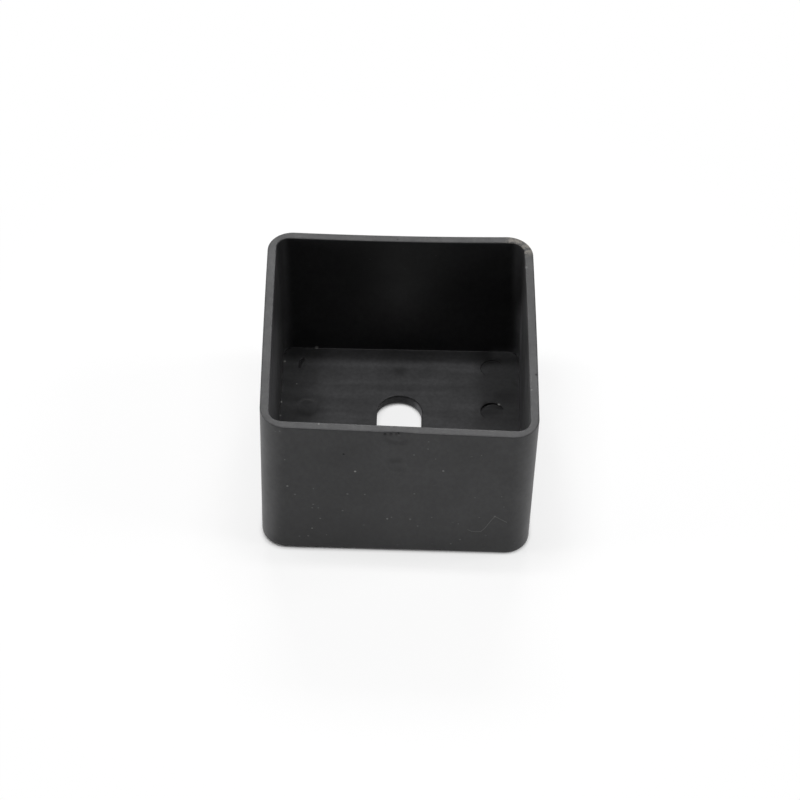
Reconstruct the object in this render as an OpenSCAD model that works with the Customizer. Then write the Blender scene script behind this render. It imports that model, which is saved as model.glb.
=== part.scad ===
// Slip-on rubber foot for a square tube: one moulded cup with a drafted wall,
// a slotted sole and the marks that its mould leaves.
// The foot stands on its sole. The origin is the centre of the sole's underside, +Z points up
// to the mouth, and the moulding gate is on the -Y wall. All sizes are in millimetres.

/* [Socket] */
// Side of the square tube that the socket takes
tube_side = 50; // [44:0.5:90]
// Corner radius of the socket at its floor
socket_corner_r = 2.4; // [1.2:0.1:4]
// Depth of the socket from its mouth to its floor
socket_depth = 32.8; // [18:0.2:60]
// How much wider the cup is at its rim than at its floor, on each side
draft = 0.2; // [0.1:0.05:0.8]

/* [Wall and sole] */
// Thickness of the side walls
wall = 1.8; // [1.2:0.05:4]
// Thickness of the sole
sole = 2.7; // [1.8:0.1:6]
// Outer corner radius at the sole
outer_corner_r = 5; // [3:0.1:9]
// Radius along the sole's lower outer edge
sole_edge_r = 0.5; // [0.2:0.1:1.2]
// Radius between the socket's floor and its walls
floor_fillet_r = 0.3; // [0.2:0.05:1]
// Radius on both edges of the rim
rim_edge_r = 0.2; // [0.1:0.05:0.5]

/* [Slot] */
// Width of the slot through the sole
slot_w = 9.4; // [4.5:0.1:14]
// Length of the slot, end to end
slot_length = 24; // [16:0.5:34]

/* [Ejector marks] */
// Diameter of each ejector mark
pin_d = 4.8; // [3:0.1:6]
// Depth of each ejector mark
pin_depth = 0.3; // [0.1:0.05:0.8]
// From a side wall to the centres of the column of marks beside it
pin_column_inset = 5.75; // [4.5:0.05:7]
// From the front or back wall to the centres of the row of marks beside it
pin_row_inset = 4.8; // [4:0.05:7]
// Distance between an outer row of marks and the inner row next to it
pin_row_pitch = 11.95; // [8:0.05:12.5]

/* [Gate marks] */
// Radius of the half-round relief where the gate was trimmed, at the rim
gate_r = 3.1; // [1.5:0.1:5]
// Depth of the gate relief
gate_depth = 0.3; // [0.1:0.05:0.6]
// Diameter of the dished dimple below the gate
dimple_d = 3.8; // [2:0.1:6]
// Depth of the dimple at its middle
dimple_depth = 0.2; // [0.1:0.05:0.6]
// From the rim down to the dimple's centre
dimple_drop = 9.4; // [8:0.1:14]

/* [Hidden] */
$fn = 96;

SIDES = [0, 90, 180, 270];
OVERCUT = 1;

height = sole + socket_depth;
floor_half = tube_side / 2;
base_half = floor_half + wall;
dimple_z = height - dimple_drop;

// The corner axes of the outside and of the socket keep their places as the walls draft outwards
outer_axis = base_half - outer_corner_r;
socket_axis = floor_half - socket_corner_r;
// Radii of the two outlines, at the bottom and the top of the cup
base_r = outer_corner_r;
rim_r = outer_corner_r + draft;
floor_r = socket_corner_r;
mouth_r = socket_corner_r + draft;

pin_x = floor_half - pin_column_inset;
pin_y_outer = floor_half - pin_row_inset;
pin_y_inner = pin_y_outer - pin_row_pitch;

// Distance of the wall's outer face from the centre, at height z
function outer_half(z) = base_half + draft * (z - sole_edge_r) / (height - rim_edge_r - sole_edge_r);

// What is left of a square corner outside a round of radius r centred at the origin
module spandrel(r) {
    difference() {
        square(r);
        circle(r);
    }
}

// Sweeps a section round a square with its corner axes at +-axis in X and Y,
// and fills the square between them from z to z + h
module round_square(axis, z, h) {
    for (turn = SIDES)
        rotate([0, 0, turn]) {
            translate([axis, 0, 0])
                rotate([90, 0, 0])
                    linear_extrude(height = 2 * axis, center = true)
                        children();
            translate([axis, axis, 0])
                rotate_extrude(angle = 90)
                    children();
        }
    translate([-axis, -axis, z])
        cube([2 * axis, 2 * axis, h]);
}

// From an outer corner axis to the outside: the sole's round edge, the drafted wall, the rim's edge
module outer_section() {
    difference() {
        polygon([
            [0, 0],
            [base_r, 0],
            [base_r, sole_edge_r],
            [rim_r, height - rim_edge_r],
            [rim_r, height],
            [0, height]
        ]);
        translate([base_r - sole_edge_r, sole_edge_r])
            mirror([0, 1])
                spandrel(sole_edge_r);
        translate([rim_r - rim_edge_r, height - rim_edge_r])
            spandrel(rim_edge_r);
    }
}

// From a socket corner axis to the wall: the floor with its fillet, the drafted wall, the mouth's edge
module socket_section() {
    lip_z = height - rim_edge_r;
    difference() {
        polygon([
            [0, sole],
            [floor_r, sole],
            [floor_r, sole + floor_fillet_r],
            [mouth_r, lip_z],
            [mouth_r + rim_edge_r, lip_z],
            [mouth_r + rim_edge_r, height + OVERCUT],
            [0, height + OVERCUT]
        ]);
        translate([floor_r - floor_fillet_r, sole + floor_fillet_r])
            mirror([0, 1])
                spandrel(floor_fillet_r);
        translate([mouth_r + rim_edge_r, lip_z])
            circle(rim_edge_r);
    }
}

module cup() {
    difference() {
        round_square(outer_axis, 0, height)
            outer_section();
        round_square(socket_axis, sole, socket_depth + OVERCUT)
            socket_section();
    }
}

// Round-ended slot through the sole, running front to back
module slot() {
    run = slot_length - slot_w;
    cut_h = sole + 2 * OVERCUT;
    translate([-slot_w / 2, -run / 2, -OVERCUT])
        cube([slot_w, run, cut_h]);
    for (end = [-1, 1])
        translate([0, end * run / 2, -OVERCUT])
            cylinder(d = slot_w, h = cut_h);
}

// Shallow round marks that the ejector pins leave in the socket's floor
module ejector_marks() {
    for (x = [-pin_x, pin_x], y = [-pin_y_outer, -pin_y_inner, pin_y_inner, pin_y_outer])
        translate([x, y, sole - pin_depth])
            cylinder(d = pin_d, h = pin_depth + OVERCUT);
}

// Half-round relief at the rim of the -Y wall
module gate_relief() {
    translate([0, gate_depth - outer_half(height), height])
        rotate([90, 0, 0])
            cylinder(r = gate_r, h = gate_depth + OVERCUT);
}

// Dished dimple in the outside of the -Y wall, as a ball presses it
module dimple() {
    ball_r = (pow(dimple_d / 2, 2) + pow(dimple_depth, 2)) / (2 * dimple_depth);
    translate([0, dimple_depth - outer_half(dimple_z) - ball_r, dimple_z])
        sphere(ball_r);
}

module foot() {
    color("#2c2d2f")
        difference() {
            cup();
            slot();
            ejector_marks();
            gate_relief();
            dimple();
        }
}

foot();
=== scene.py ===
"""Slip-on rubber foot for a square tube: its looks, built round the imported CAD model.

Lengths are in millimetres until a mesh, lamp or camera is made, and angles are in degrees.
"""

import math

import bpy
import numpy as np
from mathutils import Matrix, Vector
from mathutils.geometry import delaunay_2d_cdt


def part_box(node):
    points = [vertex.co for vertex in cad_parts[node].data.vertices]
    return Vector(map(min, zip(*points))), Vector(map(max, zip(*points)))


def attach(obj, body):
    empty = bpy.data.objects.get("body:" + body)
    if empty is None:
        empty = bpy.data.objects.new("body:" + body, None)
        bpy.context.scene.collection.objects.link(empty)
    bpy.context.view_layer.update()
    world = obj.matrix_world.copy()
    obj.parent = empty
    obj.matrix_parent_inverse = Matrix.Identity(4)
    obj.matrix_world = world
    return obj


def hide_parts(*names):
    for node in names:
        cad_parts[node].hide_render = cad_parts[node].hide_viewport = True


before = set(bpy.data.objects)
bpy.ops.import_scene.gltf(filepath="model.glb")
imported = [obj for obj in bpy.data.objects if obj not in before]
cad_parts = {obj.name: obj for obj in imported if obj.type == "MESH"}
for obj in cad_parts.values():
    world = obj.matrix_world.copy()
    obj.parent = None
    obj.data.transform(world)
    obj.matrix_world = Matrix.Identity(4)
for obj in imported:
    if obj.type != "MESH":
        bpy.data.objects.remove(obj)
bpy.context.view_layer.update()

MM = 0.001

# ---------------------------------------------------------------- sizes of the cup
_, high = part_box("foot")
RIM_HALF = high.x / MM
HEIGHT = high.z / MM
WALL = 1.8
SOLE = 2.7
DRAFT = 0.2
# Corner radii of the outside at its base and rim, and of the socket at its floor and mouth
BASE_R = 5.0
RIM_R = BASE_R + DRAFT
FLOOR_R = 2.4
MOUTH_R = FLOOR_R + DRAFT
# The corners' axes, which keep their places at every height
OUTER_AXIS = RIM_HALF - RIM_R
SOCKET_AXIS = RIM_HALF - WALL - MOUTH_R
FLOOR_HALF = SOCKET_AXIS + FLOOR_R

# Round edges: the lower one of the sole and of the slot, the floor's fillet, both of the rim,
# and the upper one of the slot
SOLE_EDGE_R = 0.8
FLOOR_FILLET_R = 0.16
RIM_EDGE_R = 0.2
SLOT_TOP_R = 0.12
RIM_Z = HEIGHT - RIM_EDGE_R

SLOT_W = 9.4
SLOT_LENGTH = 24.0
# From the slot's middle to the centres of its round ends
SLOT_RUN = (SLOT_LENGTH - SLOT_W) / 2
# Width of the flat strip along each plate's border, so that a round edge's shading stays beside it
GUARD = 0.1
# Half widths of the slot's hole in the sole's plate and in the floor's
SOLE_HOLE_R = SLOT_W / 2 + SOLE_EDGE_R + GUARD
FLOOR_HOLE_R = SLOT_W / 2 + SLOT_TOP_R + GUARD

# ---------------------------------------------------------------- how the soft cup has warped
# Each corner's shift from its moulded place, as seen in the photograph: (x, y, z)
RIM_SHIFT = {
    (1, 1): (-0.37, 0.08, -0.17),
    (-1, 1): (-0.20, 0.02, -0.14),
    (-1, -1): (0.67, 1.51, 0.0),
    (1, -1): (0.30, 0.02, 0.0),
}
BASE_SHIFT = {
    (1, 1): (0.04, 0.13, 0.0),
    (-1, 1): (0.03, -0.02, 0.0),
    (-1, -1): (-0.01, 0.19, 0.0),
    (1, -1): (-0.02, -0.50, 0.0),
}
# How far three of the walls bulge outwards between their corners, at the rim, by (outward x, y)
WALL_BOWS = {(0, 1): -0.34, (-1, 0): 0.08, (1, 0): 0.1}
# How far the socket's floor stands to the right of the mouth's centre, as its core leant in the mould
CORE_LEAN = 0.3


def corner_blend(shift, x, y, half):
    """The shift at (x, y), blended between the four corners."""
    u = (x / half + 1) / 2
    v = (y / half + 1) / 2
    weights = {(1, 1): u * v, (-1, 1): (1 - u) * v, (-1, -1): (1 - u) * (1 - v), (1, -1): u * (1 - v)}
    return sum(w[:, None] * np.array(shift[corner]) for corner, w in weights.items())


def bow(points):
    """How far the walls' bulges move each point."""
    x, y, z = points.T
    moved = np.zeros_like(points)
    for (out_x, out_y), reach in WALL_BOWS.items():
        on_wall = x * out_x + y * out_y > RIM_HALF - 2 * WALL
        along = x * out_y + y * out_x
        swell = reach * np.clip(1 - (along / OUTER_AXIS) ** 2, 0, 1) * (z / HEIGHT) ** 2 * on_wall
        moved += swell[:, None] * np.array([out_x, out_y, 0])
    return moved


def past_axes(x, y, axis):
    """How far (x, y) is from the square whose corners are the axes at +-axis."""
    return np.hypot(np.maximum(0, np.abs(x) - axis), np.maximum(0, np.abs(y) - axis))


def core_lean(points):
    """How far the leaning core moves the points of the socket."""
    x, y, z = points.T
    in_socket = past_axes(x, y, OUTER_AXIS) < BASE_R - WALL / 2
    share = np.where(z < SOLE, z / SOLE, (HEIGHT - z) / (HEIGHT - SOLE))
    return (CORE_LEAN * in_socket * share)[:, None] * np.array([1, 0, 0])


def warp(points):
    """Points of the moulded form, moved to where the warped cup has them."""
    x, y, z = points.T
    up = (z / HEIGHT)[:, None]
    rim = corner_blend(RIM_SHIFT, x, y, RIM_HALF)
    base = corner_blend(BASE_SHIFT, x, y, RIM_HALF - DRAFT)
    return points + rim * up + base * (1 - up) + bow(points) + core_lean(points)


def warped(point):
    """Where one point of the moulded form is on the warped cup."""
    return tuple(float(c) for c in warp(np.array([point], float))[0])


# ---------------------------------------------------------------- how fine the mesh is
# Steps round a corner, a lower edge or fillet, the rim's edges, the slot's upper edge and a mark
CORNER_STEPS = 16
EDGE_STEPS = 6
RIM_EDGE_STEPS = 5
SLOT_TOP_STEPS = 4
MARK_STEPS = 48
# Steps round each end of the slot and along each of its sides
SLOT_END_STEPS = 32
SLOT_SIDE_STEPS = 14
# Lengths of the quads along the sides, and of those within the gate's reach
SIDE_STEP = 0.42
GATE_STEP = 0.16
GATE_REACH = 4.2
# Heights of the quads: the outside below and above the height where the gate's marks begin, the
# socket's walls and the slot's wall
FINE_ABOVE = 21.0
LOW_STEP = 0.75
HIGH_STEP = 0.22
SOCKET_STEP = 0.9
SLOT_STEP = 0.6
# Where the rings across the rim lie, from its outer edge to its inner one
RIM_SHARES = (0.2, 0.4, 0.6, 0.8)
# Spacing of the points inside the plates, and how far they keep from the plates' rings
FLOOR_GRID = 0.9
SOLE_GRID = 1.3
RING_MARGIN = 0.6
# How far inside the slot's outline a face's middle has to be to count as in the hole
HOLE_TOLERANCE = 0.003
CDT_TOLERANCE = 1e-7


# ---------------------------------------------------------------- the cup's outline and sections
def side_places(fine):
    """Places along a side from one corner axis, -1, to the other, 1; a fine side is finer at the gate."""
    runs = [(-1, 1, SIDE_STEP)]
    if fine:
        gate = GATE_REACH / OUTER_AXIS
        runs = [(-1, -gate, SIDE_STEP), (-gate, gate, GATE_STEP), (gate, 1, SIDE_STEP)]
    return np.concatenate([
        np.linspace(start, end, round((end - start) * OUTER_AXIS / step) + 1)[:-1]
        for start, end, step in runs
    ])


def outline(axis):
    """Feet and outward directions of the lines that cross a wall face whose corner axes are at +-axis.

    They run counter-clockwise from the front side, as many of them whatever the axis.
    """
    feet, outward = [], []
    for turn in range(4):
        angle = math.radians(-90 + 90 * turn)
        out = np.array([math.cos(angle), math.sin(angle)])
        along = np.array([-out[1], out[0]])
        for place in side_places(fine=turn == 0):
            feet.append((out + along * place) * axis)
            outward.append(out)
        for step in range(CORNER_STEPS):
            a = angle + math.radians(90) * step / CORNER_STEPS
            feet.append((out + along) * axis)
            outward.append(np.array([math.cos(a), math.sin(a)]))
    return np.array(feet), np.array(outward)


def arc(centre_r, centre_z, radius, start, end, steps):
    """(r, z) points along an arc of a section."""
    angles = np.radians(np.linspace(start, end, steps + 1))
    return [(centre_r + radius * math.cos(a), centre_z + radius * math.sin(a)) for a in angles]


def straight(start, end, step):
    """(r, z) points between two points of a section, without its ends."""
    start, end = np.array(start), np.array(end)
    n = max(1, round(np.linalg.norm(end - start) / step))
    return [tuple(start + (end - start) * i / n) for i in range(1, n)]


def outer_section():
    """(r, z) from an outer corner axis: the sole's edge, up the outside and over the rim's outer edge."""
    def face(z):
        return (BASE_R + DRAFT * (z - SOLE_EDGE_R) / (RIM_Z - SOLE_EDGE_R), z)

    sole_edge = arc(BASE_R - SOLE_EDGE_R, SOLE_EDGE_R, SOLE_EDGE_R, -90, 0, EDGE_STEPS)
    lower = straight(face(SOLE_EDGE_R), face(FINE_ABOVE), LOW_STEP)
    upper = straight(face(FINE_ABOVE), face(RIM_Z), HIGH_STEP)
    rim_edge = arc(RIM_R - RIM_EDGE_R, RIM_Z, RIM_EDGE_R, 0, 90, RIM_EDGE_STEPS)
    guard = (BASE_R - SOLE_EDGE_R - GUARD, 0.0)
    return [guard] + sole_edge + lower + [face(FINE_ABOVE)] + upper + rim_edge


def socket_section():
    """(r, z) from a socket corner axis: over the rim's inner edge, down the inside and round the fillet."""
    rim_edge = arc(MOUTH_R + RIM_EDGE_R, RIM_Z, RIM_EDGE_R, 90, 180, RIM_EDGE_STEPS)
    wall = straight((MOUTH_R, RIM_Z), (FLOOR_R, SOLE + FLOOR_FILLET_R), SOCKET_STEP)
    fillet = arc(FLOOR_R - FLOOR_FILLET_R, SOLE + FLOOR_FILLET_R, FLOOR_FILLET_R, 0, -90, EDGE_STEPS)
    guard = (FLOOR_R - FLOOR_FILLET_R - GUARD, SOLE)
    return rim_edge + wall + fillet + [guard]


def slot_section():
    """(half width, z) of the slot: round its lower edge, up its wall and over its upper edge."""
    half = SLOT_W / 2
    lower = arc(half + SOLE_EDGE_R, SOLE_EDGE_R, SOLE_EDGE_R, -90, -180, EDGE_STEPS)
    upper = arc(half + SLOT_TOP_R, SOLE - SLOT_TOP_R, SLOT_TOP_R, 180, 90, SLOT_TOP_STEPS)
    wall = straight(lower[-1], upper[0], SLOT_STEP)
    return [(SOLE_HOLE_R, 0.0)] + lower + wall + upper + [(FLOOR_HOLE_R, SOLE)]


def slot_loop(radius):
    """The slot's outline, counter-clockwise, at a given half width."""
    turns = np.radians(np.linspace(0, 180, SLOT_END_STEPS + 1))
    back = [(radius * math.cos(a), SLOT_RUN + radius * math.sin(a)) for a in turns]
    left = [(-radius, y) for y in np.linspace(SLOT_RUN, -SLOT_RUN, SLOT_SIDE_STEPS + 1)[1:-1]]
    return back + left + [(-x, -y) for x, y in back + left]


def in_slot(x, y, radius):
    """Whether (x, y) is inside the slot's outline at a given half width."""
    return math.hypot(x, max(0.0, abs(y) - SLOT_RUN)) < radius


# ---------------------------------------------------------------- ejector marks in the floor
PIN_R = 2.4
PIN_X = 19.25
PIN_ROWS = (-20.2, -8.25, 8.25, 20.2)
PINS = [(side, row) for side in (-1, 1) for row in PIN_ROWS]
# By side and distance from the middle: how deep a mark is at its deepest, the direction of that side
# from its centre, how quickly it rises to the floor on the other side, and how soft its edge is
PIN_TILTS = {
    (1, 8.25): (0.66, 118, 0.8, 1.0),
    (1, 20.2): (0.26, 130, 0.8, 1.5),
    (-1, 8.25): (0.1, 80, 0.3, 12.0),
    (-1, 20.2): (0.45, 165, 3.2, 1.0),
}
# Across the edge of a mark of softness 1: distances outwards from it, and the share of its depth there
PIN_EDGE = (-0.3, -0.08, -0.04, -0.02, 0.0, 0.04, 0.3)
PIN_EDGE_SHARES = (1.0, 1.0, 0.94, 0.5, 0.06, 0.0, 0.0)
# The rings along a soft edge go no further from it than this
PIN_RING_REACH = 1.0


def floor_height(x, y):
    """Height of the socket's floor, with its ejector marks: shallow discs that sink to one side."""
    side = 1 if x > 0 else -1
    row = min(PIN_ROWS, key=lambda place: abs(y - place))
    from_x, from_y = x - side * PIN_X, y - row
    depth, lean, rise, softness = PIN_TILTS[side, abs(row)]
    share = np.interp((math.hypot(from_x, from_y) - PIN_R) / softness, PIN_EDGE, PIN_EDGE_SHARES)
    lean = math.radians(lean)
    towards = (from_x * math.cos(lean) + from_y * math.sin(lean)) / PIN_R
    return SOLE - share * depth * min(1.0, max(0.0, 1.0 - rise * (1.0 - towards)))


def pin_loops(side, row):
    """Loops along the edge of one mark."""
    softness = PIN_TILTS[side, abs(row)][-1]
    turns = np.radians(np.linspace(0, 360, MARK_STEPS + 1))[:-1]
    for edge in PIN_EDGE:
        radius = PIN_R + min(PIN_RING_REACH, max(-PIN_RING_REACH, edge * softness))
        yield [(side * PIN_X + radius * math.cos(a), row + radius * math.sin(a)) for a in turns]


# ---------------------------------------------------------------- marks in the front wall
GATE_X = -0.25
GATE_R = 3.1
GATE_DEPTH = 0.14
# Width of the slope along the relief's round edge, and the share of its depth that it loses at its sides
GATE_EDGE = 0.9
GATE_FLATTENING = 0.6
DIMPLE_Z = HEIGHT - 9.4
DIMPLE_R = 1.95
DIMPLE_DEPTH = 0.12
# Stubs left where the moulding's gate was cut: (x, z, radius, height), below zero where it tore out
NIBS = (
    (-2.7, 34.8, 0.24, -0.14),
    (-1.6, 34.8, 0.3, -0.18),
    (-0.5, 35.0, 0.22, -0.14),
    (0.0, 34.9, 0.26, 0.14),
)


def front_press(x, z):
    """How deep the marks press into the outside of the front wall."""
    from_gate = np.hypot(x - GATE_X, z - HEIGHT)
    gate = GATE_DEPTH * np.clip((GATE_R + GATE_EDGE / 2 - from_gate) / GATE_EDGE, 0, 1)
    gate = gate * (1 - GATE_FLATTENING * np.clip((x - GATE_X) / GATE_R, -1, 1) ** 2)
    dish = DIMPLE_DEPTH * np.clip(1 - ((x - GATE_X) ** 2 + (z - DIMPLE_Z) ** 2) / DIMPLE_R ** 2, 0, 1)
    stubs = sum(height * np.exp(-((x - nib_x) ** 2 + (z - nib_z) ** 2) / radius ** 2)
                for nib_x, nib_z, radius, height in NIBS)
    return gate + dish - stubs


def pressed(loop):
    """A loop of the outside, with the front wall's marks pressed into it."""
    x, y, z = loop.T
    on_wall = y < -(RIM_HALF - 2 * RIM_EDGE_R - DRAFT)
    return loop + (on_wall * front_press(x, z))[:, None] * np.array([0, 1, 0])


# ---------------------------------------------------------------- the cup's mesh
class Surface:
    """Vertices and faces gathered from strips and plates."""

    def __init__(self):
        self.points = []
        self.faces = []

    def add(self, rows):
        """Adds points, and returns their numbers."""
        first = len(self.points)
        self.points.extend(tuple(float(c) for c in row) for row in rows)
        return list(range(first, len(self.points)))

    def strip(self, rings):
        """Quads between each closed ring and the next, with as many points each."""
        for ring, next_ring in zip(rings, rings[1:]):
            for i in range(len(ring)):
                j = (i + 1) % len(ring)
                self.faces.append((ring[i], ring[j], next_ring[j], next_ring[i]))

    def plate(self, rings, hole_r, inner, heights, facing):
        """Triangles inside rings[0] and round the slot's hole, through the other rings and inner points."""
        flat, numbers, edges = [], [], []
        for ring in rings:
            first = len(flat)
            n = len(ring)
            flat.extend(Vector(self.points[i][:2]) for i in ring)
            numbers.extend(ring)
            edges.extend((first + i, first + (i + 1) % n) for i in range(n))
        flat.extend(Vector(p) for p in inner)
        numbers.extend(self.add([(x, y, heights(x, y)) for x, y in inner]))
        verts, _, faces, origins, _, _ = delaunay_2d_cdt(flat, edges, [], 0, CDT_TOLERANCE)
        for face in faces:
            middle = sum((verts[i] for i in face), Vector((0, 0))) / len(face)
            if in_slot(middle.x, middle.y, hole_r - HOLE_TOLERANCE):
                continue
            loop = [numbers[origins[i][0]] for i in face]
            a, b, c = (verts[i] for i in face[:3])
            turns_left = (b - a).cross(c - a) > 0
            self.faces.append(tuple(loop if turns_left == (facing > 0) else reversed(loop)))


def plate_points(step, axis, radius, hole_r, marks=()):
    """A grid of points inside a plate's rounded square that keeps clear of its rings."""
    def is_clear(x, y):
        from_marks = [abs(math.hypot(x - side * PIN_X, y - row) - PIN_R) for side, row in marks]
        return (past_axes(x, y, axis) < radius - RING_MARGIN
                and not in_slot(x, y, hole_r + RING_MARGIN)
                and min(from_marks, default=RING_MARGIN) >= RING_MARGIN)

    reach = int((axis + radius) / step)
    places = np.arange(-reach, reach + 1) * step
    return [(x, y) for x in places for y in places if is_clear(x, y)]


def add_walls(cup):
    """Adds the outside, the rim and the socket's walls, and returns their first and last rings."""
    loops = []
    for axis, section in ((OUTER_AXIS, outer_section()), (SOCKET_AXIS, socket_section())):
        feet, outward = outline(axis)
        loops.append([np.column_stack([feet + outward * r, np.full(len(feet), z)]) for r, z in section])
    outer_loops = [pressed(loop) for loop in loops[0]]
    socket_loops = loops[1]
    rim_loops = [outer_loops[-1] * (1 - share) + socket_loops[0] * share for share in RIM_SHARES]
    rings = [cup.add(loop) for loop in outer_loops + rim_loops + socket_loops]
    cup.strip(rings)
    return rings[0], rings[-1]


def add_slot(cup):
    """Adds the slot's wall, and returns its lowest and highest rings."""
    rings = [cup.add([(x, y, z) for x, y in slot_loop(radius)]) for radius, z in slot_section()]
    cup.strip(rings[::-1])
    return rings[0], rings[-1]


def build_cup():
    """The whole cup as it was moulded, before it warped."""
    cup = Surface()
    base_ring, floor_ring = add_walls(cup)
    slot_foot, slot_top = add_slot(cup)
    mark_rings = [cup.add([(x, y, floor_height(x, y)) for x, y in loop])
                  for side, row in PINS for loop in pin_loops(side, row)]
    inner = plate_points(FLOOR_GRID, SOCKET_AXIS, FLOOR_R - FLOOR_FILLET_R, FLOOR_HOLE_R, PINS)
    cup.plate([floor_ring, slot_top] + mark_rings, FLOOR_HOLE_R, inner, floor_height, facing=1)
    inner = plate_points(SOLE_GRID, OUTER_AXIS, BASE_R - SOLE_EDGE_R, SOLE_HOLE_R)
    cup.plate([base_ring, slot_foot], SOLE_HOLE_R, inner, lambda x, y: 0.0, facing=-1)
    return cup


def new_object(name, points, faces):
    """A smooth-shaded mesh object in the scene, from points in millimetres."""
    mesh = bpy.data.meshes.new(name)
    mesh.from_pydata([tuple(p) for p in np.asarray(points) * MM], [], faces)
    mesh.validate()
    mesh.polygons.foreach_set("use_smooth", [True] * len(mesh.polygons))
    mesh.update()
    made = bpy.data.objects.new(name, mesh)
    bpy.context.scene.collection.objects.link(made)
    return made


# ---------------------------------------------------------------- patterns out of shader nodes
class Pattern:
    """Builds masks and factors for a material out of shader nodes; places are in millimetres."""

    def __init__(self, tree):
        self.tree = tree
        coordinates = tree.nodes.new("ShaderNodeTexCoord")
        self.place = self.vector("SCALE", coordinates.outputs["Object"], scale=1 / MM)
        self.normal = tree.nodes.new("ShaderNodeNewGeometry").outputs["Normal"]

    def feed(self, socket, value):
        """Links another node's output to the socket, or sets the socket to a plain value."""
        if isinstance(value, bpy.types.NodeSocket):
            self.tree.links.new(value, socket)
        else:
            socket.default_value = value

    def math(self, operation, a, b=0.0, c=0.0):
        """The number that a Math node makes of its inputs."""
        made = self.tree.nodes.new("ShaderNodeMath")
        made.operation = operation
        for socket, value in zip(made.inputs, (a, b, c)):
            self.feed(socket, value)
        return made.outputs[0]

    def vector(self, operation, a, b=(0.0, 0.0, 0.0), scale=1.0):
        """The vector or number that a Vector Math node makes of its inputs."""
        made = self.tree.nodes.new("ShaderNodeVectorMath")
        made.operation = operation
        for socket, value in zip(made.inputs, (a, b, (0.0, 0.0, 0.0), scale)):
            self.feed(socket, value)
        gives_number = operation in ("DOT_PRODUCT", "DISTANCE", "LENGTH")
        return made.outputs["Value" if gives_number else "Vector"]

    def along(self, direction):
        """How far the place lies in a direction."""
        return self.vector("DOT_PRODUCT", self.place, direction)

    def facing(self, direction):
        """How much the surface faces in a direction."""
        return self.vector("DOT_PRODUCT", self.normal, direction)

    def ramp(self, value, low, high, to_low=0.0, to_high=1.0):
        """A smooth step from to_low, where the value is low, to to_high, where it is high."""
        made = self.tree.nodes.new("ShaderNodeMapRange")
        made.interpolation_type = "SMOOTHSTEP"
        for name, given in zip(("Value", "From Min", "From Max", "To Min", "To Max"),
                               (value, low, high, to_low, to_high)):
            self.feed(made.inputs[name], given)
        return made.outputs[0]

    def times(self, *factors):
        """The product of the factors."""
        product = factors[0]
        for factor in factors[1:]:
            product = self.math("MULTIPLY", product, factor)
        return product

    def most(self, masks):
        """Wherever any of the masks is."""
        joined = masks[0]
        for mask in masks[1:]:
            joined = self.math("MAXIMUM", joined, mask)
        return joined

    def factor(self, mask, strength):
        """1 where the mask is 0, and the strength where it is 1."""
        return self.math("MULTIPLY_ADD", mask, strength - 1, 1.0)

    def tones(self, where, parts):
        """The product of the factors of (mask, strength) parts, each of them kept to one region."""
        return self.times(*[self.factor(self.times(where, mask), strength) for mask, strength in parts])

    def noise(self, stretch, detail=2.0, roughness=0.5):
        """Noise round 0.5, where stretch is the number of waves in a millimetre along each axis."""
        made = self.tree.nodes.new("ShaderNodeTexNoise")
        self.feed(made.inputs["Vector"], self.vector("MULTIPLY", self.place, stretch))
        self.feed(made.inputs["Scale"], 1.0)
        self.feed(made.inputs["Detail"], detail)
        self.feed(made.inputs["Roughness"], roughness)
        return made.outputs[0]

    def spot(self, point, radius, softness=0.5):
        """A round spot about a point of the moulded form."""
        away = self.vector("DISTANCE", self.place, warped(point))
        return self.ramp(away, radius * (1 + softness), radius * (1 - softness))

    def streak(self, start, end, radius, softness=0.5):
        """A line between two points of the moulded form."""
        start, end = np.array(warped(start)), np.array(warped(end))
        run = end - start
        from_start = self.vector("SUBTRACT", self.place, tuple(start))
        along = self.vector("DOT_PRODUCT", from_start, tuple(run / run.dot(run)))
        along = self.math("MINIMUM", self.math("MAXIMUM", along, 0.0), 1.0)
        nearest = self.vector("SCALE", tuple(run), scale=along)
        away = self.vector("DISTANCE", from_start, nearest)
        return self.ramp(away, radius * (1 + softness), radius * (1 - softness))

    def grains(self, stretch, radius, share):
        """Specks of many strengths, strewn at random in that share of a grid's cells."""
        made = self.tree.nodes.new("ShaderNodeTexVoronoi")
        self.feed(made.inputs["Vector"], self.vector("MULTIPLY", self.place, stretch))
        self.feed(made.inputs["Scale"], 1.0)
        parts = self.tree.nodes.new("ShaderNodeSeparateColor")
        self.feed(parts.inputs[0], made.outputs["Color"])
        there = self.math("LESS_THAN", parts.outputs[0], share)
        size = self.math("MULTIPLY_ADD", parts.outputs[1], radius, radius / 2)
        near = self.ramp(self.math("DIVIDE", made.outputs["Distance"], size), 1.3, 0.7)
        return self.times(there, near, parts.outputs[2])


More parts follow.
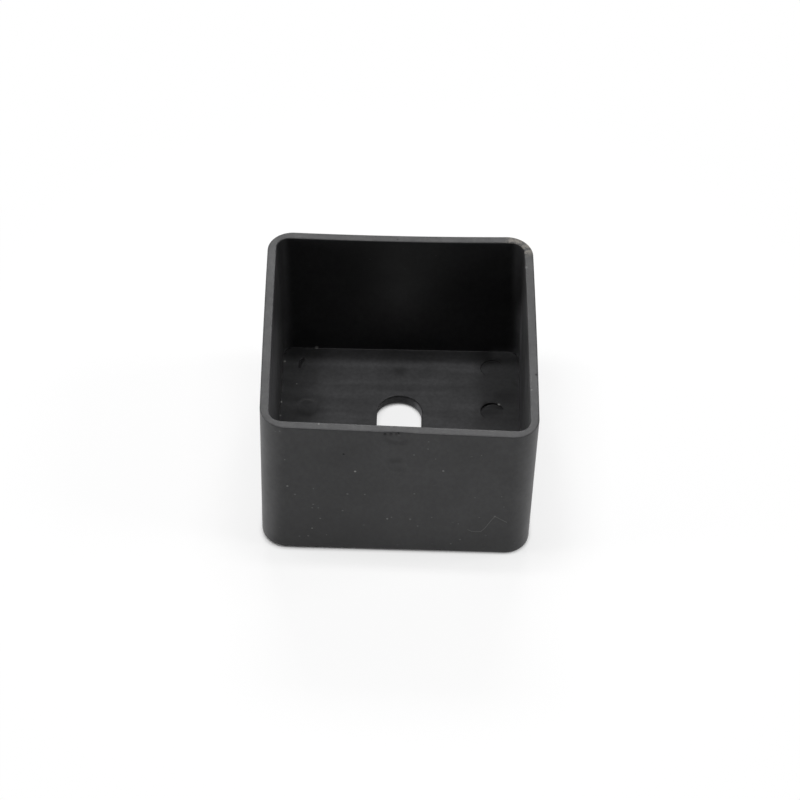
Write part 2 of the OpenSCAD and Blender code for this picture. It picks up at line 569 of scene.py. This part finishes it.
class CupPattern(Pattern):
    """A pattern with a mask for each side of the cup."""

    def __init__(self, tree):
        super().__init__(tree)
        self.right = self.along((1, 0, 0))
        self.back = self.along((0, 1, 0))
        self.height = self.along((0, 0, 1))
        self.up = self.facing((0, 0, 1))
        self.aside = self.math("ABSOLUTE", self.right)
        ahead = self.math("ABSOLUTE", self.back)
        level = self.vector("MULTIPLY", self.place, (1, 1, 0))

        self.faces_left = self.ramp(self.facing((-1, 0, 0)), 0.3, 0.9)
        self.faces_right = self.ramp(self.facing((1, 0, 0)), 0.3, 0.9)
        self.faces_front = self.ramp(self.facing((0, -1, 0)), 0.3, 0.9)
        self.inward = self.ramp(self.facing(level), 0.0, -5.0)
        self.upright = self.ramp(self.up, 0.6, 0.3)

        self.floor = self.times(
            self.ramp(self.up, 0.5, 0.9), self.ramp(self.height, SOLE + 0.5, SOLE + 0.1))
        self.walls_inside = self.times(self.inward, self.upright)
        self.rim = self.times(
            self.ramp(self.up, 0.2, 0.8), self.ramp(self.height, HEIGHT - 2.5, HEIGHT - 1.5))
        self.front = self.ramp(self.back, 1.5 - RIM_HALF, 0.7 - RIM_HALF)
        # The steep edges of the ejector marks: on the floor's plate, near its height and not level
        self.mark_edges = self.times(
            self.ramp(self.math("MAXIMUM", self.aside, ahead), FLOOR_HALF - 0.1, FLOOR_HALF - 0.4),
            self.ramp(self.height, SOLE + 0.3, SOLE + 0.2), self.ramp(self.height, SOLE - 0.5, SOLE - 0.35),
            self.ramp(self.up, 0.995, 0.95))
        # The slot's wall: steep, below the floor, and nearer to the middle than the sole's edge
        sideways = self.vector("LENGTH", self.vector("MULTIPLY", self.normal, (1, 1, 0)))
        self.slot_wall = self.times(
            self.ramp(sideways, 0.3, 0.7), self.ramp(self.height, SOLE + 0.02, SOLE - 0.01),
            self.ramp(self.vector("LENGTH", level), SLOT_LENGTH / 2 + 2, SLOT_LENGTH / 2 + 1))


# ---------------------------------------------------------------- marks on the rubber
def on_front(x, z):
    """A point on the outside of the front wall."""
    return (x, -(RIM_HALF - DRAFT * (1 - z / HEIGHT)), z)


def on_back(x, z):
    """A point on the inside of the back wall, near its foot."""
    return (x, FLOOR_HALF, z)


def on_floor(x, y):
    """A point on the socket's floor."""
    return (x, y, SOLE)


def on_rim(x, y):
    """A point on the rim."""
    return (x, y, HEIGHT)


# Bits of grit, listed one by one: how plainly they show, the side they are on, and each one's place
# there and reach
GRIT = (
    (0.8, on_front, [(-8.29, 23.8, 0.2)]),
    (0.8, on_back, [(-18.0, 3.0, 0.34)]),
    (0.8, on_floor, [(20.6, 10.2, 0.24), (-24.8, 9.5, 0.2)]),
    (0.4, on_front, [(-21.5, 18.7, 0.2), (-16.6, 6.2, 0.17), (8.8, 24.95, 0.2), (-1.75, 9.9, 0.2)]),
    (0.4, on_floor, [(-24.6, 21.0, 0.24), (-24.8, 5.8, 0.2), (-21.8, 14.7, 0.14)]),
    (0.4, on_rim, [(-15.5, -25.6, 0.18), (25.6, -14.6, 0.16)]),
    (0.2, on_front, [
        (-23.0, 34.35, 0.2), (-22.0, 26.4, 0.15), (-20.0, 16.3, 0.18), (-16.4, 18.2, 0.13),
        (-16.4, 13.5, 0.18), (-16.6, 12.45, 0.15), (-15.4, 12.5, 0.13), (-15.0, 9.3, 0.18),
        (-17.35, 3.8, 0.2), (-19.1, 3.6, 0.16), (-13.7, 4.3, 0.13), (-9.7, 17.0, 0.22),
        (-6.3, 17.05, 0.16), (-10.6, 11.9, 0.18), (-0.9, 10.4, 0.16), (5.7, 33.3, 0.14),
        (5.65, 31.2, 0.16), (3.0, 29.3, 0.16), (7.2, 28.4, 0.12), (3.4, 17.8, 0.18),
        (16.0, 30.0, 0.13), (15.3, 17.3, 0.12), (20.5, 17.9, 0.13), (23.2, 19.1, 0.13),
        (21.1, 14.8, 0.12), (7.05, 10.8, 0.13), (2.8, 10.0, 0.2), (4.35, 8.0, 0.16),
        (16.4, 11.3, 0.13), (12.35, 9.1, 0.14), (12.9, 4.2, 0.17), (11.1, 2.8, 0.17),
        (19.45, 11.8, 0.2),
    ]),
    (0.2, on_rim, [(25.4, 18.4, 0.3)]),
)
# Dark spots, and how dark they are: painted shade in the torn pits at the gate and round its stub, and
# other dark spots on the front wall and the rim; the side they are on, and each one's place and reach
PITS = (
    (on_front, [(-10.6, 28.7, 0.22), (-2.75, 34.9, 0.3), (-1.6, 34.95, 0.34), (-0.6, 35.0, 0.24),
                (-0.2, 35.3, 0.26)]),
    (on_rim, [(26.6, -10.6, 0.24), (-0.6, 25.9, 0.16)]),
)
PIT_SHADE_TONE = 0.15
# A hair that clings to the lower right of the front wall: (x, z) along it
HAIR = (
    (14.3, 7.4), (15.1, 6.9), (16.9, 6.95), (17.7, 8.1), (18.5, 9.9), (19.45, 11.8), (20.1, 11.35),
    (21.9, 10.1),
)
HAIR_R = 0.08
# Soft lines of painted shade along the gate relief's lower edge, the dimple's upper one and the floor's
# marks where they are deepest, and darker and paler patches in the floor: side, start, end, radius and
# strength, which is dark below 1 and pale above
SHADE_AND_PATCHES = (
    # Painted shade along the gate relief's lower edge
    (on_front, (-1.6, 32.7), (-0.8, 32.4), 0.6, 0.85),
    (on_front, (0.7, 32.4), (1.3, 32.8), 0.6, 0.85),
    # Painted shade along the dimple's upper edge
    (on_front, (-1.6, 27.0), (0.5, 27.1), 0.7, 0.65),
    (on_front, (-1.0, 27.3), (0.1, 27.4), 0.6, 0.35),
    # Darker patches in the floor
    (on_floor, (-0.4, 19.0), (0.0, 19.0), 1.1, 0.6),
    (on_floor, (20.9, 12.4), (22.0, 12.0), 1.3, 0.65),
    # Painted shade along the deepest edges of two marks on the right
    (on_floor, (17.1, 9.1), (18.0, 10.4), 0.4, 0.35),
    (on_floor, (18.0, 10.4), (19.6, 10.5), 0.4, 0.35),
    (on_floor, (19.6, 10.5), (21.2, 9.3), 0.4, 0.35),
    (on_floor, (17.2, 21.2), (18.4, 22.4), 0.6, 0.6),
    (on_floor, (18.4, 22.4), (20.6, 22.2), 0.6, 0.6),
    # A paler patch in the floor by the back wall
    (on_floor, (20.5, 24.4), (23.2, 24.4), 1.2, 2.6),
    # Painted shade along the upper and lower edges of a mark on the left
    (on_floor, (-21.2, 9.7), (-19.6, 10.1), 0.9, 0.7),
    (on_floor, (-21.0, 6.6), (-19.0, 6.3), 0.9, 0.7),
)


def surface_marks(paint):
    """Masks for what lies on the rubber, and for where it is worn or pitted."""
    rubbed = paint.ramp(paint.noise((0.9, 0.9, 0.9), 3.0, 0.7), 0.4, 0.62)
    worn = paint.ramp(paint.noise((0.7, 0.7, 0.7), 4.0, 0.7), 0.45, 0.8)
    grit = [paint.times(paint.most([paint.spot(side(a, b), reach) for a, b, reach in places]), strength)
            for strength, side, places in GRIT]
    pits = [paint.spot(side(a, b), reach) for side, places in PITS for a, b, reach in places]
    hair = [paint.streak(on_front(*start), on_front(*end), HAIR_R) for start, end in zip(HAIR, HAIR[1:])]
    rim_corner = paint.spot(on_rim(24.7, 25.0), 3.2, 0.35)
    return {
        "worn": paint.times(worn, paint.rim),
        "scuff": paint.times(rubbed, rim_corner, paint.ramp(paint.up, 0.1, 0.6)),
        "dust": paint.times(paint.grains((0.3, 0.45, 0.5), 0.06, 0.4), paint.upright),
        "hair": paint.most(hair),
        "grit": paint.most(grit),
        "pits": paint.most(pits),
    }


# ---------------------------------------------------------------- how dark or pale the rubber is
def floor_flow_and_painted_shade(paint):
    """The socket's floor: pale flow lines, painted light over it, and painted shade at its sides and back.
    """
    flow = paint.ramp(paint.noise((0.025, 0.3, 0.0), 2.0), 0.35, 0.65)
    wavy_aside = paint.math("MULTIPLY_ADD", paint.noise((0.2, 0.2, 0.2)), 5.0, paint.aside)
    shade_beside_walls = paint.ramp(wavy_aside, 17.0, 21.5)
    shade_by_back_wall = paint.ramp(paint.back, 20.2, 22.4)
    # Painted light over the whole floor, and painted shade beside the side walls and along the back wall
    return paint.tones(paint.floor, ((1.0, 1.32), (flow, 1.35), (shade_beside_walls, 0.66), (shade_by_back_wall, 0.6)))


def inner_wall_streaks_and_painted_shade(paint):
    """The socket's walls: pale drag streaks, painted shade at the back and the sides' tops, painted light
    low on the right.
    """
    towards_back = paint.along((0, 1.1, 1))
    back = paint.times(paint.walls_inside, paint.faces_front)
    left = paint.times(paint.walls_inside, paint.faces_right)
    right = paint.times(paint.walls_inside, paint.faces_left)

    drag_streaks = paint.ramp(paint.noise((0.55, 0.55, 0.02), 2.0), 0.3, 0.7)
    # Painted shade: the back wall above its foot, a spot on it, and the side walls' tops towards the back
    back_shade_above_foot = paint.ramp(paint.height, 8.0, 22.0)
    back_wall_shade_spot = paint.spot((-3.5, FLOOR_HALF, 29.0), 8.0, 0.6)
    left_back_top_shade = paint.ramp(towards_back, 32.0, 42.0)
    right_back_top_shade = paint.ramp(towards_back, 44.0, 50.0)
    # Painted light low on the right wall, and painted shade at its top
    right_foot_light = paint.ramp(paint.height, 26.0, 9.0)
    right_top_shade = paint.ramp(paint.height, 22.0, 31.0)
    # A pale spot on the right wall
    right_pale_spot = paint.spot((25.1, 20.0, 14.5), 5.0, 0.6)
    # Painted light along the left wall's fillet
    fillet = paint.times(paint.ramp(paint.height, 3.6, 2.9), paint.ramp(paint.height, 2.5, 2.7))
    return paint.times(
        paint.tones(paint.most([left, right]), ((drag_streaks, 1.6),)),
        paint.tones(back, ((back_shade_above_foot, 0.72), (back_wall_shade_spot, 0.5))),
        paint.tones(left, ((left_back_top_shade, 0.5),)),
        paint.tones(right, ((right_back_top_shade, 0.6), (right_foot_light, 2.8), (right_top_shade, 0.75), (right_pale_spot, 2.2))),
        paint.tones(paint.times(paint.inward, paint.faces_right), ((fillet, 2.0),)),
    )


def outer_tone_and_shade(paint):
    """The front wall, with painted shade at its foot, darker at its left and pale at the gate; the rim,
    darker at the back.
    """
    # Painted shade at the front wall's foot
    front_foot_shade = paint.ramp(paint.height, 14.0, 3.0)
    front_left = paint.ramp(paint.right, 2.0, -12.0)
    gate = paint.spot(on_front(-0.2, 30.6), 4.6, 0.45)
    rim_back = paint.ramp(paint.along((0.5, 1, 0)), 2.0, 24.0)
    return paint.times(
        paint.tones(paint.times(paint.front, paint.upright), ((front_foot_shade, 0.7), (front_left, 0.78))),
        paint.tones(paint.upright, ((gate, 1.16),)),
        paint.tones(paint.rim, ((rim_back, 0.56),)),
    )


def rubber_tone_and_shading(paint):
    """How much paler or darker than its plain colour the rubber is, painted shade and light included."""
    mottle = paint.ramp(paint.noise((0.14, 0.14, 0.14), 3.0), 0.3, 0.7, 0.9, 1.1)
    grain = paint.ramp(paint.noise((1.1, 1.1, 0.8), 3.0, 0.65), 0.3, 0.7, 0.88, 1.12)
    # Painted shade on the steep edges of the floor's marks, and painted light on the slot's wall
    hollow_shade_and_slot_light = (paint.factor(paint.mark_edges, 0.35), paint.factor(paint.slot_wall, 1.6))
    shade_and_patch_factors = [paint.factor(paint.streak(side(*start), side(*end), radius, 1.0), strength)
              for side, start, end, radius, strength in SHADE_AND_PATCHES]
    sides = (floor_flow_and_painted_shade(paint), inner_wall_streaks_and_painted_shade(paint), outer_tone_and_shade(paint))
    return paint.times(mottle, grain, *sides, *hollow_shade_and_slot_light, *shade_and_patch_factors)


# ---------------------------------------------------------------- the rubber's material
RUBBER_COLOUR = (0.033, 0.033, 0.0343)
RUBBER_SPECULAR = 0.275
GRAIN_HEIGHT = 0.004
# How fully each mark covers the rubber, and its colour
MARK_COLOURS = {
    "worn": (0.25, (0.09, 0.088, 0.086)),
    "scuff": (0.8, (0.24, 0.225, 0.205)),
    "dust": (0.6, (0.11, 0.11, 0.11)),
    "hair": (0.6, (0.12, 0.12, 0.115)),
    "grit": (1.0, (0.36, 0.36, 0.35)),
}
# The rubber's lowest and highest roughness, and how much rougher these marks are
ROUGHNESS = (0.43, 0.47)
ROUGH_MARKS = ("scuff", "grit", "pits", "dust")
MARKS_ROUGHER = 0.4


def rubber_colour(paint, marks):
    """The rubber's colour, with each mark mixed over it in turn."""
    # Darker at the pits: painted shade at the gate, and other dark spots
    tone = paint.times(rubber_tone_and_shading(paint), paint.factor(marks["pits"], PIT_SHADE_TONE))
    colour = paint.vector("SCALE", RUBBER_COLOUR, scale=tone)
    for name, (cover, mark_colour) in MARK_COLOURS.items():
        mix = paint.tree.nodes.new("ShaderNodeMix")
        mix.data_type = "RGBA"
        paint.feed(mix.inputs["Factor"], paint.times(marks[name], cover))
        paint.feed(mix.inputs[6], colour)
        paint.feed(mix.inputs[7], (*mark_colour, 1))
        colour = mix.outputs[2]
    return colour


def rubber():
    """Black moulded rubber: nearly plain, with flow lines, scuffs, dust and a few pits, and painted shade
    and light.
    """
    material = bpy.data.materials.new("moulded_rubber")
    material.use_nodes = True
    tree = material.node_tree
    shader = tree.nodes["Principled BSDF"]
    shader.inputs["Specular IOR Level"].default_value = RUBBER_SPECULAR
    paint = CupPattern(tree)
    marks = surface_marks(paint)
    paint.feed(shader.inputs["Base Color"], rubber_colour(paint, marks))

    uneven = paint.ramp(paint.noise((0.3, 0.3, 0.3), 3.0), 0.3, 0.7, *ROUGHNESS)
    rougher = [paint.mark_edges, paint.slot_wall, *(marks[name] for name in ROUGH_MARKS)]
    rough = paint.math("MULTIPLY_ADD", paint.most(rougher), MARKS_ROUGHER, uneven)
    paint.feed(shader.inputs["Roughness"], rough)

    bump = tree.nodes.new("ShaderNodeBump")
    bump.inputs["Distance"].default_value = GRAIN_HEIGHT * MM
    paint.feed(bump.inputs["Height"], paint.noise((1.2, 1.2, 1.2), 3.0, 0.6))
    paint.feed(shader.inputs["Normal"], bump.outputs[0])
    return material


def build_foot():
    """The foot's one piece, which replaces the CAD node."""
    cup = build_cup()
    foot = new_object("rubber_foot", warp(np.array(cup.points)), cup.faces)
    foot.data.materials.append(rubber())
    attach(foot, "root")
    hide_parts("foot")


# ---------------------------------------------------------------- floor, lamps and camera
def seen_rays(tree):
    """1 for the rays that see the white studio: straight, mirrored and through glass."""
    rays = tree.nodes.new("ShaderNodeLightPath")
    seen = rays.outputs["Is Camera Ray"]
    for kind in ("Is Glossy Ray", "Is Transmission Ray"):
        either = tree.nodes.new("ShaderNodeMath")
        either.operation = "MAXIMUM"
        tree.links.new(seen, either.inputs[0])
        tree.links.new(rays.outputs[kind], either.inputs[1])
        seen = either.outputs[0]
    return seen


# The floor reaches this far each way, and lies this little below the sole
FLOOR_REACH = 3000.0
FLOOR_DROP = 0.02
FLOOR_COLOUR = (0.93, 0.93, 0.93, 1)
# Up to the near distance this share of what is seen is plain white, and beyond the far one all of it
NEAR_WHITE = 0.7
NEAR, FAR = 40.0, 112.0
# The shade where the foot meets the floor: how far it reaches under the foot, and over the open floor
SHADE_UNDER = 0.5
SHADE_OVER = 0.9
# Inside the slot the shade is measured from a wider and shorter outline, so that it gathers at the ends
SLOT_SHADE_R = SLOT_W / 2 + 0.6
SLOT_SHADE_RUN = SLOT_RUN - 0.5


def open_floor(paint):
    """1 on the open floor, falling to 0 where the foot meets it along its outline and inside its slot."""
    folded = paint.vector("ABSOLUTE", paint.place)
    past_axis = paint.vector("MAXIMUM", paint.vector("SUBTRACT", folded, (OUTER_AXIS, OUTER_AXIS, 0)))
    past_end = paint.vector("MAXIMUM", paint.vector("SUBTRACT", folded, (0, SLOT_SHADE_RUN, 0)))
    outside = paint.math("SUBTRACT", paint.vector("LENGTH", past_axis), BASE_R)
    in_hole = paint.math("SUBTRACT", SLOT_SHADE_R, paint.vector("LENGTH", past_end))
    return paint.ramp(paint.math("MAXIMUM", outside, in_hole), -SHADE_UNDER, SHADE_OVER)


def mix_shaders(tree, share, first, second):
    """The first shader where the share is 0, and the second where it is 1."""
    mix = tree.nodes.new("ShaderNodeMixShader")
    for socket, source in zip(mix.inputs, (share, first.outputs[0], second.outputs[0])):
        tree.links.new(source, socket)
    return mix


def white_floor():
    """White where it is seen, with the foot's shadow; clear from below, so that the sole shows."""
    material = bpy.data.materials.new("floor")
    material.use_nodes = True
    tree = material.node_tree
    tree.nodes.clear()
    paint = Pattern(tree)
    diffuse = tree.nodes.new("ShaderNodeBsdfDiffuse")
    diffuse.inputs["Color"].default_value = FLOOR_COLOUR
    white = tree.nodes.new("ShaderNodeEmission")
    clear = tree.nodes.new("ShaderNodeBsdfTransparent")
    whiter = paint.ramp(paint.vector("LENGTH", paint.place), NEAR, FAR, NEAR_WHITE, 1.0)
    seen = paint.times(seen_rays(tree), whiter, open_floor(paint))
    from_below = tree.nodes.new("ShaderNodeNewGeometry").outputs["Backfacing"]
    above = mix_shaders(tree, seen, diffuse, white)
    output = tree.nodes.new("ShaderNodeOutputMaterial")
    tree.links.new(mix_shaders(tree, from_below, above, clear).outputs[0], output.inputs["Surface"])
    return material


def build_floor():
    """The stage's floor: one large square."""
    signs = ((-1, -1), (1, -1), (1, 1), (-1, 1))
    corners = [(x * FLOOR_REACH, y * FLOOR_REACH, -FLOOR_DROP) for x, y in signs]
    floor = new_object("floor", corners, [(0, 1, 2, 3)])
    floor.data.materials.append(white_floor())


def direction(azimuth, elevation):
    """Unit vector towards a place round the object; azimuth 0 is the camera's side, 90 is +X."""
    a, e = math.radians(azimuth), math.radians(elevation)
    return Vector((math.sin(a) * math.cos(e), -math.cos(a) * math.cos(e), math.sin(e)))


# Each lamp's azimuth, elevation, width, depth and power
LAMPS = {
    "strip": (180, 83, 500, 60, 2.37),
    "back": (180, 43, 500, 200, 3.95),
    "left_high": (270, 75, 250, 300, 2.55),
    "right_high": (90, 75, 250, 300, 1.14),
    "right": (90, 30, 500, 500, 4.36),
    "left_low": (270, 12, 500, 300, 6.83),
}
LAMP_DISTANCE = 1000


def build_lamps():
    """Soft lamps round the foot, each turned towards it."""
    for name, (azimuth, elevation, width, depth, power) in LAMPS.items():
        data = bpy.data.lights.new(name, "AREA")
        data.shape = "RECTANGLE"
        data.size = width * MM
        data.size_y = depth * MM
        data.energy = power
        made = bpy.data.objects.new(name, data)
        towards = direction(azimuth, elevation)
        made.location = towards * LAMP_DISTANCE * MM
        made.rotation_mode = "QUATERNION"
        made.rotation_quaternion = towards.to_track_quat("Z", "Y")
        bpy.context.scene.collection.objects.link(made)


def build_world():
    """Pale where it is seen, and dark for everything that it would light."""
    world = bpy.data.worlds.new("studio")
    bpy.context.scene.world = world
    world.use_nodes = True
    tree = world.node_tree
    tree.nodes.clear()
    output = tree.nodes.new("ShaderNodeOutputWorld")
    background = tree.nodes.new("ShaderNodeBackground")
    tree.links.new(seen_rays(tree), background.inputs["Strength"])
    tree.links.new(background.outputs[0], output.inputs["Surface"])


# Camera, as fitted to the photograph's edges; its image is 800 pixels wide
IMAGE_W = 800.0
FOCAL_PX = 2603.55
CAMERA_PITCH = 48.760
CAMERA_YAW = 0.318
CAMERA_ROLL = 1.012
CAMERA_DISTANCE = 527.675
CAMERA_TARGET = (0.353, 0.0, 15.058)
SENSOR = 36.0
CLIP_START = 10.0
CLIP_END = 20000.0


def build_camera():
    """The photograph's camera."""
    data = bpy.data.cameras.new("camera")
    data.sensor_width = SENSOR
    data.lens = FOCAL_PX / IMAGE_W * SENSOR
    data.clip_start = CLIP_START * MM
    data.clip_end = CLIP_END * MM
    made = bpy.data.objects.new("camera", data)
    back = direction(CAMERA_YAW, CAMERA_PITCH)
    made.location = (Vector(CAMERA_TARGET) + back * CAMERA_DISTANCE) * MM
    made.rotation_mode = "QUATERNION"
    roll = Matrix.Rotation(math.radians(CAMERA_ROLL), 3, back)
    made.rotation_quaternion = (roll @ back.to_track_quat("Z", "Y").to_matrix()).to_quaternion()
    bpy.context.scene.collection.objects.link(made)
    bpy.context.scene.camera = made


build_camera()
build_foot()
build_floor()
build_lamps()
build_world()
bpy.context.scene.view_settings.view_transform = "Standard"
